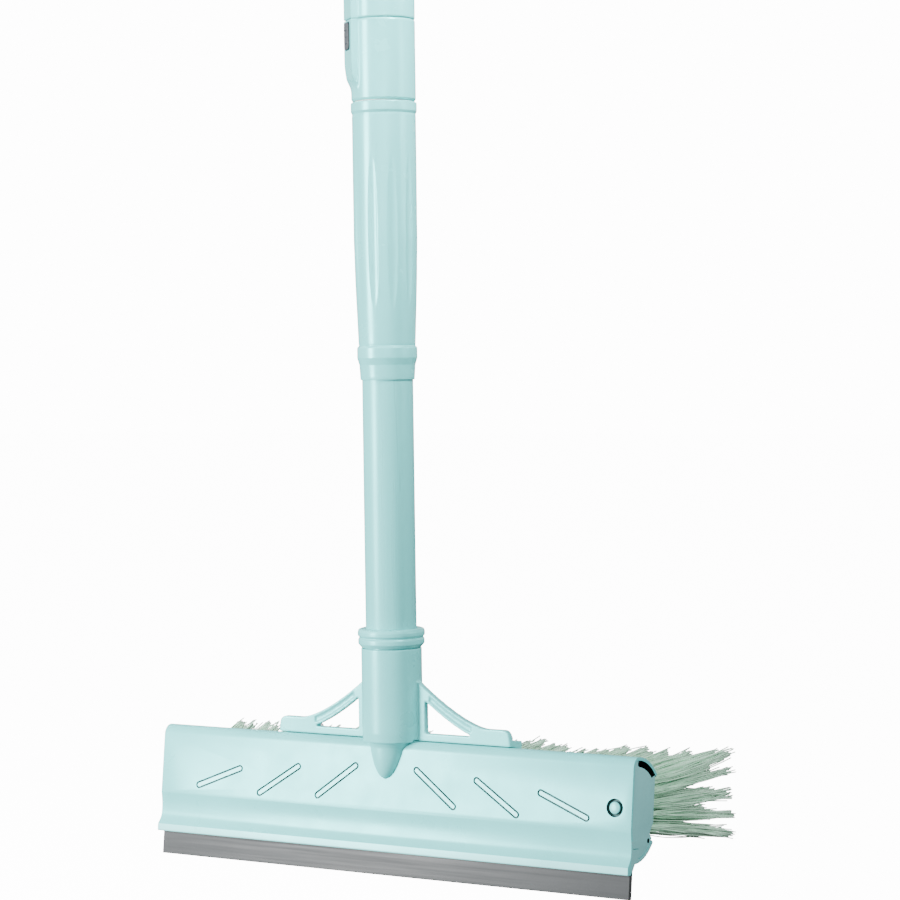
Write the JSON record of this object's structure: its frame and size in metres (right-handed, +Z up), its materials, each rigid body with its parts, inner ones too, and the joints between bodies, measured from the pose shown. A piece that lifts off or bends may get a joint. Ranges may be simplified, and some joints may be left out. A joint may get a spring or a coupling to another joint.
{
  "type": "window squeegee",
  "caption": "Long window squeegee: a rubber blade in a leaning moulded head with a bristle brush behind it, on a twist-lock telescopic pole with a hanging loop.",
  "frame": {"origin": "middle of the rubber blade's working edge", "axes": "+Z up along the pole, +X along the head to the peg's end, -Y out of the blade's side, +Y out of the bristles' side"},
  "size_m": [0.289, 0.1012, 0.7777],
  "materials": {
    "aqua_plastic": "smooth moulded polypropylene in pale aqua, satin gloss",
    "aqua_painted_tube": "thin steel tube powder-coated in the same pale aqua",
    "grey_rubber": "mid grey, matt, with a cut edge",
    "grey_plastic": "blue-grey moulded plastic",
    "white_nylon": "natural nylon",
    "spring_steel": "bright zinc-plated wire, strip and screws",
    "bristle_filament": "crimped pale grey-green filaments with split, paler tips"
  },
  "bodies": {
    "handle": {"outer_tube": "aqua_painted_tube", "lock_collet": "white_nylon", "coupling_collar": "aqua_plastic", "upper_housing": "aqua_plastic", "hand_grip": "aqua_plastic", "end_cap": "aqua_plastic", "button_spring": "spring_steel"},
    "lower_section": {"inner_tube": "aqua_painted_tube", "top_glide": "white_nylon", "pole_ferrule": "aqua_plastic", "handle_bracket": "aqua_plastic", "foot_screw_1": "spring_steel", "foot_screw_2": "spring_steel", "foot_screw_3": "spring_steel", "foot_screw_4": "spring_steel", "front_shell": "aqua_plastic", "brush_block": "aqua_plastic", "rubber_blade": "grey_rubber", "bristle_row_1": "bristle_filament", "bristle_row_2": "bristle_filament", "bristle_row_3": "bristle_filament", "bristle_row_4": "bristle_filament", "bristle_row_5": "bristle_filament", "peg_spring": "spring_steel"},
    "sleeve": {"twist_sleeve": "aqua_plastic"},
    "button": {"lock_button": "grey_plastic"},
    "peg": {"snap_peg": "aqua_plastic"}
  },
  "joints": [
    {"name": "tube_slide", "type": "slide", "parent": "handle", "child": "lower_section", "axis": [0, 0, -1], "range_m": [-0.1, 0.212]},
    {"name": "twist_lock", "type": "hinge", "parent": "handle", "child": "sleeve", "pos_m": [0, 0.009, 0.306], "axis": [0, 0, 1], "range_deg": [0, 90]},
    {"name": "button_press", "type": "slide", "parent": "handle", "child": "button", "axis": [0.6691, 0.7431, 0], "range_m": [0, 0.0012], "stiffness_N_per_m": 1500, "springref_m": -0.001, "deforming": ["button_spring"]},
    {"name": "peg_press", "type": "slide", "parent": "lower_section", "child": "peg", "axis": [0, 0.9925, -0.1219], "range_m": [0, 0.0022], "stiffness_N_per_m": 1500, "springref_m": -0.001, "deforming": ["peg_spring"]}
  ]
}
